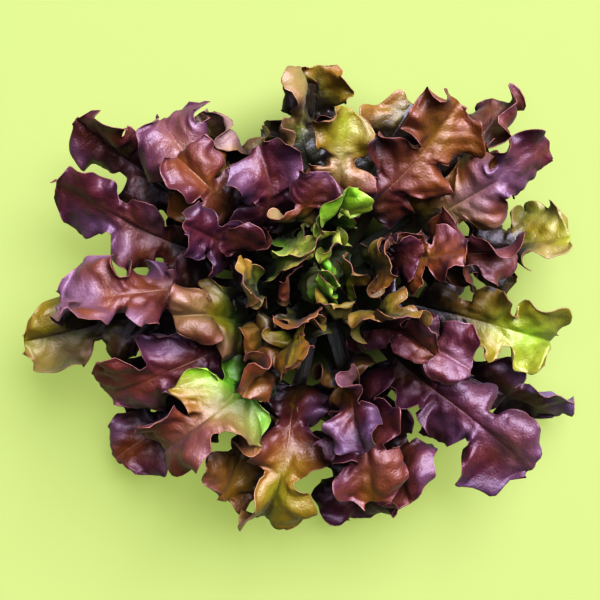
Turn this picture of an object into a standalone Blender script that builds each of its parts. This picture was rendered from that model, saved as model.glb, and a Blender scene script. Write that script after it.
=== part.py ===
"""A head of red oak leaf lettuce, standing on its cut stem.

The frame is in metres with +Z up. The origin is the centre of the cut face of the
stem, which is also what the head stands on. +X is the head's long direction.

Every leaf is a blade of its own, grown from a grid: rows run across the leaf, from
its foot on the stem to its tip, and columns run along it, with the rib in the middle.
The leaves are numbered from the lowest and outermost to the youngest in the heart,
and each leaf lies inside all those before it.
"""

import math
import random

import bmesh
import bpy
import numpy as np

# The head
LEAF_SEED = 21
# Which of its seeded draws a leaf keeps, so that it lies clear of its neighbours: 0 if not named
REDRAWN = {
    1: 7, 4: 9, 8: 1, 10: 1, 12: 7, 13: 9, 14: 7, 18: 7, 24: 8, 27: 4, 31: 6, 33: 6, 36: 1,
    41: 8, 42: 1, 44: 9, 47: 1, 49: 4, 50: 3, 51: 9, 52: 1, 53: 8,
}
HEART_LEAN = (0.004, 0.006)  # how far the innermost leaves stand off the stem's axis
HEART_HEIGHT = 0.130
HEART_FULL = 0.6  # share of the inner leaves that rise before the others sink to the heart
HEART_DIP = 0.028  # how much lower the youngest leaves end than those round them

# The stem: a short cone with a domed growing tip
STEM_FOOT_RADIUS = 0.0155
STEM_NECK_RADIUS = 0.0145
STEM_TIP_RADIUS = 0.0068
STEM_HEIGHT = 0.060
STEM_SHOULDER = 0.25  # share of the height at which the stem starts to taper
STEM_HOLLOWNESS = 1.15  # 1 for a straight taper
STEM_SLOPE = 0.18  # how far the stem's side leans in for its height, at its steepest
STEM_ROUNDING = 0.0012  # height of the narrower edge round the cut face
STEM_EDGE = 0.0008
STEM_DOME = 0.0016
STEM_SIDES = 24
STEM_RINGS = 10

# The blades
ROW_PLACES = (
    0.0, 0.09, 0.18, 0.26, 0.32, 0.385, 0.45, 0.505,
    0.56, 0.62, 0.68, 0.735, 0.79, 0.865, 0.94, 1.0,
)  # where the rows lie along a leaf: closer together over its lobes
COLUMNS = 4  # cells across a leaf
BLADE_THICKNESS = 0.0008
RIB_THICKNESS = 0.0024  # added to the blade at the foot of an outer leaf
FOOT_THICKNESS = 0.0007
TOUCH_GAP = 0.0004  # between the foot of a leaf and the stem
LOWEST_FEET = (0.0056, 0.0470)  # lowest that the oldest and the youngest leaf can start
STEEPNESS = (15.0, 77.0)  # degrees above level at which they leave the stem
FOOT_WIDTHS = (0.0062, 0.0017)  # half widths at the stem, of the oldest and the youngest
FOOT_GAP = 0.0008  # between one foot and the next above or beside it
# How each of these changes from the oldest leaf to the youngest: 1 for evenly, above 1 for late
FOOT_CHANGE, STEEP_CHANGE, WIDTH_CHANGE = 1.2, 0.75, 0.8
RIB_LOSS, FOOT_LOSS = 0.85, 0.9  # how much thinner the youngest leaf's rib and foot are
RIB_TAPER = 1.4
RIB_SPREAD = 1.6  # above 1, the rib is narrower than the blade
FOOT_END = 0.25  # where along a leaf its thicker foot ends

# The lobes, two pairs at the sides and one at the tip
LOBE_CENTRES = (0.385, 0.62, 0.87)
LOBE_HALF_LENGTHS = (0.11, 0.104, 0.127)
LOBE_WIDTHS = (0.84, 1.0, 0.92)  # as shares of the leaf's half width
LOBE_SCATTER = (0.78, 1.16)
WAIST_WIDTH = 0.0056  # half the width between two lobes
STALK_NARROWING = 0.3
STALK_END = 0.2  # where along a leaf its stalk is narrowest
WAIST_PLACES = (0.15, 0.5)  # where it widens to the width between two lobes
OUTER_HALF_WIDTH = (0.0240, 0.0310)
INNER_HALF_WIDTH = (0.0220, 0.0280)
INNER_SHRINK = (0.62, 1.0)  # how much narrower the youngest leaf is, and how late that starts
LOBE_FOLD = (-0.2, 1.1)  # how steeply a lobe stands up from the rib, in radians
LOBE_CURL = 85.0  # strongest curl of a lobe, per metre
CURLS_BACK = 0.8  # share of the lobes that curl against their fold
HEART_CALM = 0.3  # how much less the lobes of the youngest leaf are folded
CURL_LIMIT = 1.9  # how far a lobe may curl round, in radians
WEAKEST_CURL = 0.2  # of a lobe, as a share of the strongest
LEAST_CURL = 1e-3  # anything flatter counts as this, so that nothing is divided by 0
FOLD_REACH = 1.25  # how far a fold reaches past the ends of its lobe
FOOT_CURL_END = 0.35  # where along a leaf it no longer curls round the stem
SWEEP = (0.1, 0.34)  # how far forward the sides of a side lobe stand, for its width
TIP_HOLD = 0.05  # how far back the sides of the tip lobe are held
SWEEP_PLACES = (0.25, 0.5)  # where the sweep of the side lobes sets in
TIP_PLACES = (0.68, 0.80)  # where it gives way to the hold of the tip lobe

# How a leaf runs from its foot to its tip. Angles are in radians
OUTER_TIP_CURL = (-1.0, 0.7)
INNER_TIP_CURL = (-1.5, 0.2)
HEART_TIP_CURL = (-1.2, 0.4)
TIP_START = 0.70  # where along the leaf the tip starts to curl
TIP_BEND = 3.2
TWIST = 55.0  # degrees that a tip may be turned about its rib
TWIST_START = 0.15
HEART_TWIST = 0.4  # how much more the youngest leaf may be turned
SWAY = 0.016  # how far a tip may bend to one side, in metres
HEART_SWAY = 0.5  # how much less that is for the youngest leaf
WAVE = (0.14, 0.30)  # height of the ruffles at the rim, for the leaf's width
WAVES = (2.4, 3.8)  # ruffles along a leaf
WAVE_PLACES = (0.15, 0.4)
NOD = 0.3  # how far a rib may rise and fall along its way
NODS = (1.0, 1.7)
NOD_PLACES = (0.25, 0.5)
LEAN_START = 0.1  # where an inner leaf starts to lean with the heart
SHORTEST, LONGEST = 0.85, 1.2  # how far a leaf may be shrunk or stretched to reach its place

# The lowest leaves, which make the outline: direction in degrees from +X towards +Y,
# how far the tip reaches from the stem, and the height of the tip
OUTER_LEAVES = (
    (203, 0.132, 0.020),
    (326, 0.156, 0.022),
    (98, 0.119, 0.032),
    (226, 0.149, 0.020),
    (12, 0.140, 0.030),
    (150, 0.158, 0.036),
    (278, 0.134, 0.022),
    (39, 0.146, 0.042),
    (187, 0.164, 0.028),
    (304, 0.126, 0.032),
    (127, 0.112, 0.050),
    (67, 0.114, 0.048),
    (246, 0.128, 0.040),
    (348, 0.132, 0.046),
    (163, 0.148, 0.058),
    (27, 0.144, 0.060),
    (263, 0.130, 0.052),
    (321, 0.152, 0.058),
    (213, 0.128, 0.062),
    (85, 0.114, 0.072),
    (182, 0.138, 0.072),
    (50, 0.124, 0.078),
    (137, 0.120, 0.082),
    (289, 0.116, 0.080),
)
INNER_LEAVES = 31
INNER_START = 235.0  # direction of the first inner leaf
GOLDEN_ANGLE = 137.508
ANGLE_SCATTER = 12.0
INNER_REACH = (0.110, 0.001)  # of the first inner leaf and the last
REACH_SCATTER = (0.88, 1.10)
INNER_HEIGHT = (0.086, HEART_HEIGHT)
HEIGHT_SCATTER = (0.94, 1.04)
GROWTH = 0.9  # below 1, the first inner leaves change faster than the last

# The leaves' colours, by number: green in the heart, bronze where the red is thin
GREEN_LEAVES = (25, 37, 43, 48, 50, 53, 54, 55)
BRONZE_LEAVES = (3, 5, 9, 13, 14, 17, 20, 22, 26, 31, 34, 38, 47, 49, 52)

# How the leaves are bent clear of each other
CLEAR_GAP = 0.0022  # between one leaf's upper face and the next leaf's lower face
FLOOR_GAP = 0.0009  # between a leaf and the surface that the head stands on
WALL_GAP = 0.0012  # between a blade and the stem, above the foot
BEND_ROUNDS = 240
ROUNDS_A_SEARCH = 5  # rounds in which the same points are taken to be neighbours
REACH_OF_TOUCH = 0.011  # farther apart than this, points leave each other alone
SIDE_OF_TOUCH = 0.0080
DEEPEST_PUSH = 0.004
LONGEST_STEP = 0.0015  # how far a round may move a point
STEP_SHARE = 0.6
FLOOR_SHARE = 0.8
WALL_SHARE = 1.6
SPREADS = 3  # how often a round's shift is spread over each leaf
SPREAD_SHARE = (0.18, 0.60)  # in the last round and in the first
SLACK = 0.02  # share of the shift that the first round takes back
HELD_ROWS = (0.03, 0.27)  # a leaf is held before the first place and free past the second


def stem_radius(height):
    """Radius of the stem at a height, for a number or an array."""
    share = np.clip(height / STEM_HEIGHT, 0.0, 1.0)
    below = STEM_FOOT_RADIUS + (STEM_NECK_RADIUS - STEM_FOOT_RADIUS) * share / STEM_SHOULDER
    fall = np.clip((share - STEM_SHOULDER) / (1 - STEM_SHOULDER), 0.0, 1.0)
    above = STEM_NECK_RADIUS + (STEM_TIP_RADIUS - STEM_NECK_RADIUS) * fall**STEM_HOLLOWNESS
    return np.where(share < STEM_SHOULDER, below, above)


def smooth_step(low, high, value):
    """Rises from 0 to 1 between low and high, without corners."""
    share = np.clip((value - low) / (high - low), 0.0, 1.0)
    return share * share * (3 - 2 * share)


def between(ends, share):
    """The value at a share of the way from the first end to the second."""
    return ends[0] + (ends[1] - ends[0]) * share


def plan_lobes(draw, inner):
    """How each of a leaf's six half lobes is folded up from the rib, curls and is sized."""
    folds, curls, sizes = [], [], []
    for _ in range(6):
        fold = draw.uniform(*LOBE_FOLD) * (1 - HEART_CALM * inner)
        curl = draw.uniform(WEAKEST_CURL, 1.0) * (-1 if fold > 0 else 1)
        if draw.random() > CURLS_BACK:
            curl = -curl
        folds.append(fold)
        curls.append(curl)
        sizes.append(draw.uniform(*LOBE_SCATTER))
    return folds, curls, sizes


def plan_leaf(index, total):
    """What makes a leaf its own: where it points, its size, its lobes and its curl."""
    draw = random.Random(LEAF_SEED + 1000 * index + 100 * REDRAWN.get(index + 1, 0))
    outer_count = len(OUTER_LEAVES)
    age = index / (total - 1)
    inner = max((index - outer_count) / (INNER_LEAVES - 1), 0.0)
    if index < outer_count:
        azimuth, reach, tip_height = OUTER_LEAVES[index]
        half_width = draw.uniform(*OUTER_HALF_WIDTH)
        tip_curl = draw.uniform(*OUTER_TIP_CURL)
    else:
        azimuth = INNER_START + (index - outer_count) * GOLDEN_ANGLE
        azimuth += draw.uniform(-ANGLE_SCATTER, ANGLE_SCATTER)
        reach = between(INNER_REACH, inner**GROWTH) * draw.uniform(*REACH_SCATTER)
        tip_height = between(INNER_HEIGHT, min(inner / HEART_FULL, 1.0) ** GROWTH)
        tip_height *= draw.uniform(*HEIGHT_SCATTER)
        tip_height -= HEART_DIP * max(inner - HEART_FULL, 0.0) / (1 - HEART_FULL)
        half_width = draw.uniform(*INNER_HALF_WIDTH)
        half_width *= 1 - INNER_SHRINK[0] * inner ** INNER_SHRINK[1]
        tip_curl = between((draw.uniform(*INNER_TIP_CURL), draw.uniform(*HEART_TIP_CURL)), inner)
    folds, curls, sizes = plan_lobes(draw, inner)
    return {
        "azimuth": math.radians(azimuth),
        "reach": reach,
        "tip_height": tip_height,
        "start": math.radians(between(STEEPNESS, age**STEEP_CHANGE)),
        "half_width": half_width,
        "foot_width": between(FOOT_WIDTHS, age**WIDTH_CHANGE),
        "rib": RIB_THICKNESS * (1 - RIB_LOSS * age),
        "foot": FOOT_THICKNESS * (1 - FOOT_LOSS * age),
        "lobe_fold": folds,
        "lobe_curl": curls,
        "lobe_size": sizes,
        "sweep": draw.uniform(*SWEEP),
        "tip_curl": tip_curl,
        "twist": math.radians(draw.uniform(-TWIST, TWIST) * (1 + HEART_TWIST * inner)),
        "sway": draw.uniform(-SWAY, SWAY) * (1 - HEART_SWAY * inner),
        "wave": draw.uniform(*WAVE),
        "waves": draw.uniform(*WAVES),
        "phase": (draw.uniform(0, math.tau), draw.uniform(0, math.tau)),
        "nod": draw.uniform(-NOD, NOD),
        "nods": draw.uniform(*NODS),
        "lean": inner,
    }


def plan_leaves():
    """The plans of all leaves, from the lowest and outermost to the youngest."""
    total = len(OUTER_LEAVES) + INNER_LEAVES
    plans = [plan_leaf(index, total) for index in range(total)]
    stack_feet(plans)
    return plans


def stack_feet(plans):
    """Sets the height of each foot on the stem, just above the older feet that it overlaps."""
    for index, plan in enumerate(plans):
        age = index / (len(plans) - 1)
        plan["foot_height"] = between(LOWEST_FEET, age**FOOT_CHANGE)
        thickness = BLADE_THICKNESS + plan["rib"] + plan["foot"] + FOOT_GAP
        rise = thickness / (math.cos(plan["start"]) + STEM_SLOPE * math.sin(plan["start"]))
        for older in plans[:index]:
            apart = abs((plan["azimuth"] - older["azimuth"] + math.pi) % math.tau - math.pi)
            room = plan["foot_width"] + older["foot_width"] + FOOT_GAP
            if apart * float(stem_radius(older["foot_height"])) < room:
                plan["foot_height"] = max(plan["foot_height"], older["foot_height"] + rise)


def half_widths(plan, along, side):
    """Half the width of the leaf on one side (0 or 1), for an array of places along it."""
    stalk = plan["foot_width"] * (1 - STALK_NARROWING * smooth_step(0.0, STALK_END, along))
    wider = WAIST_WIDTH - (1 - STALK_NARROWING) * plan["foot_width"]
    width = stalk + wider * smooth_step(*WAIST_PLACES, along)
    for lobe in range(3):
        offset = (along - LOBE_CENTRES[lobe]) / LOBE_HALF_LENGTHS[lobe]
        full = plan["half_width"] * LOBE_WIDTHS[lobe] * plan["lobe_size"][2 * lobe + side]
        width = np.maximum(width, full * np.sqrt(np.clip(1 - offset**2, 0.0, 1.0)))
    return width


def cross_curl(plan, along, side, foot_radius):
    """How strongly the leaf curls across at each place along it, per metre."""
    curl = 1 / foot_radius * (1 - smooth_step(0.0, FOOT_CURL_END, along))
    for lobe in range(3):
        offset = (along - LOBE_CENTRES[lobe]) / LOBE_HALF_LENGTHS[lobe]
        curl = curl + plan["lobe_curl"][2 * lobe + side] * LOBE_CURL * np.clip(1 - offset**2, 0.0, 1.0)
    return np.where(np.abs(curl) < LEAST_CURL, LEAST_CURL, curl)


def fold_across(plan, along, side):
    """How steeply one side of the leaf stands up from the rib at each place along it."""
    fold = np.zeros_like(along)
    for lobe in range(3):
        offset = (along - LOBE_CENTRES[lobe]) / (LOBE_HALF_LENGTHS[lobe] * FOLD_REACH)
        fold = fold + plan["lobe_fold"][2 * lobe + side] * np.clip(1 - offset**2, 0.0, 1.0)
    return fold


def rib_line(plan, along, foot_radius):
    """Distance from the stem's axis, height and steepness along the rib."""
    run = plan["reach"] - foot_radius
    rise = plan["tip_height"] - plan["foot_height"]
    bend = 2 * (plan["start"] - math.atan2(rise, run))
    length = math.hypot(run, rise) * (bend / 2) / math.sin(bend / 2)
    steep = plan["start"] - bend * along
    steep = steep + plan["tip_curl"] * np.clip(along - TIP_START, 0.0, 1.0) * TIP_BEND
    nod = np.sin(math.tau * plan["nods"] * (along - NOD_PLACES[0]))
    nod *= smooth_step(*NOD_PLACES, along)
    steep = steep + plan["nod"] * nod
    middle = (steep[1:] + steep[:-1]) / 2
    step = np.diff(along) * length
    out = np.concatenate([[0.0], np.cumsum(np.cos(middle) * step)])
    up = np.concatenate([[0.0], np.cumsum(np.sin(middle) * step)])
    # A curled tip falls short, so the leaf grows until its farthest point reaches out
    stretch = min(max(run / max(out.max(), 0.001), SHORTEST), LONGEST)
    return foot_radius + out * stretch, plan["foot_height"] + up * stretch, steep


def leaf_points(plan, along, columns):
    """The leaf's upper face as grown free: points in rows at the places along it."""
    foot_radius = float(stem_radius(plan["foot_height"])) + TOUCH_GAP
    out, up, steep = rib_line(plan, along, foot_radius)
    twist = plan["twist"] * smooth_step(TWIST_START, 1.0, along)
    sway = plan["sway"] * along**2
    points = np.zeros((len(along), columns + 1, 3))
    cosine, sine = math.cos(plan["azimuth"]), math.sin(plan["azimuth"])
    for column, share in enumerate(np.linspace(-1.0, 1.0, columns + 1)):
        side = int(share > 0)
        width = half_widths(plan, along, side)
        distance = abs(share) * width
        turn = cross_curl(plan, along, side, foot_radius) * distance
        curl = np.clip(turn, -CURL_LIMIT, CURL_LIMIT) / np.maximum(distance, 1e-6)
        curl = np.where(np.abs(curl) < LEAST_CURL, LEAST_CURL, curl)
        flat = np.sin(curl * distance) / curl
        risen = (1 - np.cos(curl * distance)) / curl
        fold = fold_across(plan, along, side)
        sideways = (flat * np.cos(fold) - risen * np.sin(fold)) * (1 if side else -1)
        lift = flat * np.sin(fold) + risen * np.cos(fold)
        ruffle = np.sin(math.tau * plan["waves"] * along + plan["phase"][side])
        lift = lift + plan["wave"] * share**2 * width * ruffle * smooth_step(*WAVE_PLACES, along)
        # The side lobes sweep forward and the sides of the tip are held back
        sweep = plan["sweep"] * smooth_step(*SWEEP_PLACES, along)
        sweep = sweep - (plan["sweep"] + TIP_HOLD) * smooth_step(*TIP_PLACES, along)
        forward = sweep * share**2 * width
        level = sideways * np.cos(twist) - lift * np.sin(twist) + sway
        raised = sideways * np.sin(twist) + lift * np.cos(twist)
        radial = out + forward * np.cos(steep) - raised * np.sin(steep)
        points[:, column, 0] = radial * cosine - level * sine
        points[:, column, 1] = radial * sine + level * cosine
        points[:, column, 2] = up + forward * np.sin(steep) + raised * np.cos(steep)
    lean = plan["lean"] * smooth_step(LEAN_START, 1.0, along)[:, None]
    points[:, :, 0] += HEART_LEAN[0] * lean
    points[:, :, 1] += HEART_LEAN[1] * lean
    return points


def thickness_at(plan, along, columns):
    """Thickness of the leaf at each point: a rib that tapers to the tip, and a thin blade."""
    places = np.array(along)[:, None]
    across = np.abs(np.linspace(-1.0, 1.0, columns + 1))[None, :]
    rib = plan["rib"] * (1 - places) ** RIB_TAPER * np.clip(1 - across * RIB_SPREAD, 0.0, 1.0)
    foot = plan["foot"] * (1 - smooth_step(0.0, FOOT_END, places)) * np.ones_like(across)
    return BLADE_THICKNESS + rib + foot


def doubled(grids):
    """The grids with a point added in the middle of every edge of their triangles."""
    count, rows, columns, size = grids.shape
    rib = columns // 2
    fine = np.empty((count, 2 * rows - 1, 2 * columns - 1, size))
    fine[:, ::2, ::2] = grids
    fine[:, 1::2, ::2] = (grids[:, 1:] + grids[:, :-1]) / 2
    fine[:, ::2, 1::2] = (grids[:, :, 1:] + grids[:, :, :-1]) / 2
    fine[:, 1::2, 1 : 2 * rib : 2] = (grids[:, :-1, 1 : rib + 1] + grids[:, 1:, :rib]) / 2
    fine[:, 1::2, 2 * rib + 1 :: 2] = (grids[:, :-1, rib:-1] + grids[:, 1:, rib + 1 :]) / 2
    return fine


def face_directions(grids):
    """Unit directions that the upper faces point in, at every point of every grid."""
    down = np.gradient(grids, axis=1)
    over = np.gradient(grids, axis=2)
    normal = np.cross(down, over)
    return normal / np.maximum(np.linalg.norm(normal, axis=3, keepdims=True), 1e-12)


def touching_pairs(leaves):
    """Numbers of the points (on the older leaf, on the younger leaf) that lie near each other."""
    count, size = leaves.shape[:2]
    low = leaves.min(axis=1) - REACH_OF_TOUCH
    high = leaves.max(axis=1) + REACH_OF_TOUCH
    older, younger = [], []
    for a in range(count):
        for b in range(a + 1, count):
            box_low, box_high = np.maximum(low[a], low[b]), np.minimum(high[a], high[b])
            if (box_low > box_high).any():
                continue
            here = np.flatnonzero(((leaves[a] >= box_low) & (leaves[a] <= box_high)).all(axis=1))
            there = np.flatnonzero(((leaves[b] >= box_low) & (leaves[b] <= box_high)).all(axis=1))
            if not len(here) or not len(there):
                continue
            first, second = leaves[a][here], leaves[b][there]
            square = (first**2).sum(1)[:, None] + (second**2).sum(1)[None, :] - 2 * first @ second.T
            nearest = square.argmin(axis=1)
            close = square[np.arange(len(here)), nearest] < REACH_OF_TOUCH**2
            older.append(a * size + here[close])
            younger.append(b * size + there[nearest[close]])
            nearest = square.argmin(axis=0)
            close = square[nearest, np.arange(len(there))] < REACH_OF_TOUCH**2
            older.append(a * size + here[nearest[close]])
            younger.append(b * size + there[close])
    return np.concatenate(older), np.concatenate(younger)


def leaf_pushes(points, facing, thickness, older, younger):
    """How far each point has to move so that every younger leaf lies above the older ones."""
    across = points[younger] - points[older]
    way = facing[older]
    height = np.einsum("ij,ij->i", across, way)
    aside = np.linalg.norm(across - height[:, None] * way, axis=1)
    need = CLEAR_GAP + thickness[younger]
    near = (aside < SIDE_OF_TOUCH) & (height < need)
    depth = np.clip(need[near] - height[near], 0.0, DEEPEST_PUSH)[:, None] * way[near]
    push = np.zeros_like(points)
    weight = np.zeros(len(points))
    for which, sign in ((older[near], -0.5), (younger[near], 0.5)):
        for axis in range(3):
            push[:, axis] += np.bincount(which, sign * depth[:, axis], len(points))
        weight += np.bincount(which, minlength=len(points))
    return push / np.maximum(weight, 1.0)[:, None]


def bounds_pushes(points, thickness):
    """How far each point has to move to lie above the surface and outside the stem."""
    push = np.zeros_like(points)
    push[:, 2] = np.clip(FLOOR_GAP + thickness - points[:, 2], 0.0, None) * FLOOR_SHARE
    radius = np.linalg.norm(points[:, :2], axis=1)
    wall = (stem_radius(points[:, 2]) + WALL_GAP) * (points[:, 2] < STEM_HEIGHT + WALL_GAP)
    outwards = points[:, :2] / np.maximum(radius, 1e-6)[:, None]
    push[:, :2] += outwards * np.clip(wall - radius, 0.0, None)[:, None] * WALL_SHARE
    return push


def gathered(push):
    """The pushes of a doubled grid, added up at the points of the grid itself."""
    sums = push[:, ::2, ::2].copy()
    sums[:, 1:] += push[:, 1::2, ::2] * 0.5
    sums[:, :-1] += push[:, 1::2, ::2] * 0.5
    sums[:, :, 1:] += push[:, ::2, 1::2] * 0.5
    sums[:, :, :-1] += push[:, ::2, 1::2] * 0.5
    return sums


def spread(shift, share):
    """Moves each point's shift some way to the mean of the four next to it."""
    padded = np.pad(shift, ((0, 0), (1, 1), (1, 1), (0, 0)), mode="edge")
    mean = (padded[:, :-2, 1:-1] + padded[:, 2:, 1:-1]) * 0.25
    mean += (padded[:, 1:-1, :-2] + padded[:, 1:-1, 2:]) * 0.25
    return shift + (mean - shift) * share


def bend_clear(plans, grown):
    """How far every point moves so that the leaves lie clear of each other.

    A younger leaf lies on the upper side of every older one. Where two are too near,
    both give way along the older leaf's direction, and the shift is spread smoothly
    over each leaf while its foot stays on the stem.
    """
    count, rows, columns = grown.shape[:3]
    thickness = np.array([thickness_at(plan, ROW_PLACES, columns - 1) for plan in plans])
    fine_thickness = doubled(thickness[..., None]).reshape(-1)
    hold = smooth_step(*HELD_ROWS, np.array(ROW_PLACES))[None, :, None, None]
    shift = np.zeros_like(grown)
    for turn in range(BEND_ROUNDS):
        coarse = grown + shift * hold
        fine = doubled(coarse)
        points = fine.reshape(-1, 3)
        if turn % ROUNDS_A_SEARCH == 0:
            older, younger = touching_pairs(fine.reshape(count, -1, 3))
        facing = doubled(face_directions(coarse)).reshape(-1, 3)
        facing /= np.maximum(np.linalg.norm(facing, axis=1, keepdims=True), 1e-9)
        push = leaf_pushes(points, facing, fine_thickness, older, younger)
        push += bounds_pushes(points, fine_thickness)
        step = gathered(push.reshape(fine.shape)) * STEP_SHARE
        size = np.linalg.norm(step, axis=3, keepdims=True)
        shift += step * np.minimum(1.0, LONGEST_STEP / np.maximum(size, 1e-9))
        calm = 1 - turn / BEND_ROUNDS
        for _ in range(SPREADS):
            shift = spread(shift, between(SPREAD_SHARE, calm))
        shift *= 1 - SLACK * calm
    return shift * hold


def material(name, colour, roughness):
    """A plain finish of one colour."""
    made = bpy.data.materials.new(name)
    made.use_nodes = True
    shader = made.node_tree.nodes["Principled BSDF"]
    shader.inputs["Base Color"].default_value = (*colour, 1.0)
    shader.inputs["Roughness"].default_value = roughness
    made.diffuse_color = (*colour, 1.0)
    return made


def cut_cells(shape, corners, columns):
    """Cuts every cell in two, from its corner at the rib's side to the far one nearer the tip."""
    cells = {}
    for face in shape.faces:
        places = [corners[vertex] for vertex in face.verts]
        cells[(min(row for row, _ in places), min(column for _, column in places))] = face
    at = {place: vertex for vertex, place in corners.items()}
    for (row, column), face in cells.items():
        if column < columns // 2:
            bmesh.utils.face_split(face, at[(row, column + 1)], at[(row + 1, column)])
        else:
            bmesh.utils.face_split(face, at[(row, column)], at[(row + 1, column + 1)])


def leaf_object(name, plan, points, collection, finish):
    """A closed blade: the grid bent to shape, cut into triangles, then thickened."""
    rows, columns = points.shape[0] - 1, points.shape[1] - 1
    mesh = bpy.data.meshes.new(name)
    shape = bmesh.new()
    bmesh.ops.create_grid(shape, x_segments=columns, y_segments=rows, size=1.0)
    shape.verts.ensure_lookup_table()
    corners = {}
    for vertex in shape.verts:
        place = (round((vertex.co.y + 1) / 2 * rows), round((1 - vertex.co.x) / 2 * columns))
        corners[vertex] = place
        vertex.co = points[place]
    places = [corners[vertex] for vertex in shape.verts]
    cut_cells(shape, corners, columns)
    shape.to_mesh(mesh)
    shape.free()
    leaf = bpy.data.objects.new(name, mesh)
    collection.objects.link(leaf)
    mesh.materials.append(finish)
    thickness = thickness_at(plan, ROW_PLACES, columns)
    thickest = float(thickness.max())
    group = leaf.vertex_groups.new(name="thickness")
    for vertex in mesh.vertices:
        group.add([vertex.index], float(thickness[places[vertex.index]]) / thickest, "REPLACE")
    solidify = leaf.modifiers.new("blade", "SOLIDIFY")
    solidify.thickness = thickest
    solidify.offset = -1.0
    solidify.vertex_group = group.name
    mesh.shade_smooth()
    return leaf


def stem_object(collection, finish):
    """The stem, turned from its profile, with a flat cut face to stand on."""
    heights = np.linspace(STEM_HEIGHT, STEM_ROUNDING, STEM_RINGS)
    profile = [(0.0, STEM_HEIGHT + STEM_DOME)]
    profile += [(float(stem_radius(height)), float(height)) for height in heights]
    profile += [(STEM_FOOT_RADIUS - STEM_EDGE, 0.0), (0.0, 0.0)]
    mesh = bpy.data.meshes.new("stem")
    points = [(radius, 0.0, height) for radius, height in profile]
    mesh.from_pydata(points, [(at, at + 1) for at in range(len(points) - 1)], [])
    stem = bpy.data.objects.new("stem", mesh)
    collection.objects.link(stem)
    mesh.materials.append(finish)
    turned = stem.modifiers.new("turned", "SCREW")
    turned.axis = "Z"
    turned.steps = STEM_SIDES
    turned.render_steps = STEM_SIDES
    turned.use_merge_vertices = True
    turned.merge_threshold = 0.00005
    return stem


def main():
    """Clears the scene and builds the head."""
    for old in list(bpy.data.objects):
        bpy.data.objects.remove(old, do_unlink=True)
    head = bpy.data.collections.new("oak_leaf_lettuce")
    bpy.context.scene.collection.children.link(head)
    plans = plan_leaves()
    grown = np.array([leaf_points(plan, np.array(ROW_PLACES), COLUMNS) for plan in plans])
    settled = grown + bend_clear(plans, grown)
    burgundy = material("burgundy_leaf", (0.075, 0.020, 0.024), 0.38)
    bronze = material("bronze_leaf", (0.16, 0.080, 0.030), 0.42)
    green = material("green_leaf", (0.16, 0.30, 0.035), 0.42)
    stem_object(head, material("pale_stem", (0.62, 0.64, 0.40), 0.5))
    for number, (plan, points) in enumerate(zip(plans, settled), start=1):
        finish = green if number in GREEN_LEAVES else bronze if number in BRONZE_LEAVES else burgundy
        leaf_object(f"leaf_{number:02d}", plan, points, head, finish)


main()
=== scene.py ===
import math
import random

import bpy
import numpy as np
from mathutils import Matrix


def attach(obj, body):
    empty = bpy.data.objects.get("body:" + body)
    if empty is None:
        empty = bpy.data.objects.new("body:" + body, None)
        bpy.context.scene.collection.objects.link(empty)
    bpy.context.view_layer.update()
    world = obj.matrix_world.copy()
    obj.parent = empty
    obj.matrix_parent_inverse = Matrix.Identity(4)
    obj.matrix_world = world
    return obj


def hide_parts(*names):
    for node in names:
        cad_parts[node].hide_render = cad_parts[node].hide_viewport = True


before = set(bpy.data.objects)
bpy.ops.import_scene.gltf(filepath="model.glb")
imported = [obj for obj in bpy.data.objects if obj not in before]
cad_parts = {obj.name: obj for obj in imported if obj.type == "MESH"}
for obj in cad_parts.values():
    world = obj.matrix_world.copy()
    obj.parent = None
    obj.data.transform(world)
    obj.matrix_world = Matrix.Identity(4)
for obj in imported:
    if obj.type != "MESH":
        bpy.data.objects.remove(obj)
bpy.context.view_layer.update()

bpy.ops.object.select_all(action="DESELECT")

# A head of red oak leaf lettuce, seen from straight above. Every leaf is a grid, bent to the
# shape that its solid has in the frame and then frilled, puckered and thickened.

# The whole head. Lengths are metres and angles are degrees all through this file.
head = {
    "seed": 21,
    # which of its seeded draws a leaf keeps, so that it lies clear of its neighbours
    "redrawn": {
        1: 7, 4: 9, 8: 1, 10: 1, 12: 7, 13: 9, 14: 7, 18: 7, 24: 8, 27: 4, 31: 6, 33: 6,
        36: 1, 41: 8, 42: 1, 44: 9, 47: 1, 49: 4, 50: 3, 51: 9, 52: 1, 53: 8,
    },
    "heartLean": (0.004, 0.006),
    "heartHeight": 0.130,
    "heartFull": 0.6,
    "heartDip": 0.028,
    # direction, how far the tip reaches out and how high it ends, lowest leaf first
    "outerLeaves": (
        (203, 0.132, 0.020), (326, 0.156, 0.022), (98, 0.119, 0.032), (226, 0.149, 0.020),
        (12, 0.140, 0.030), (150, 0.158, 0.036), (278, 0.134, 0.022), (39, 0.146, 0.042),
        (187, 0.164, 0.028), (304, 0.126, 0.032), (127, 0.112, 0.050), (67, 0.114, 0.048),
        (246, 0.128, 0.040), (348, 0.132, 0.046), (163, 0.148, 0.058), (27, 0.144, 0.060),
        (263, 0.130, 0.052), (321, 0.152, 0.058), (213, 0.128, 0.062), (85, 0.114, 0.072),
        (182, 0.138, 0.072), (50, 0.124, 0.078), (137, 0.120, 0.082), (289, 0.116, 0.080),
    ),
    "innerLeaves": 31,
    "innerStart": 235.0,
    "goldenAngle": 137.508,
    "angleScatter": 12.0,
    "innerReach": (0.110, 0.001),
    "reachScatter": (0.88, 1.10),
    "innerHeight": 0.086,
    "heightScatter": (0.94, 1.04),
    "growth": 0.9,
    "steepness": (15.0, 77.0),
    "lowestFeet": (0.0056, 0.0470),
    "footWidths": (0.0062, 0.0017),
    "footGap": 0.0008,
    # how these change from the oldest leaf to the youngest: 1 for evenly, above 1 for late
    "footChange": 1.2,
    "steepChange": 0.75,
    "widthChange": 0.8,
}

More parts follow.
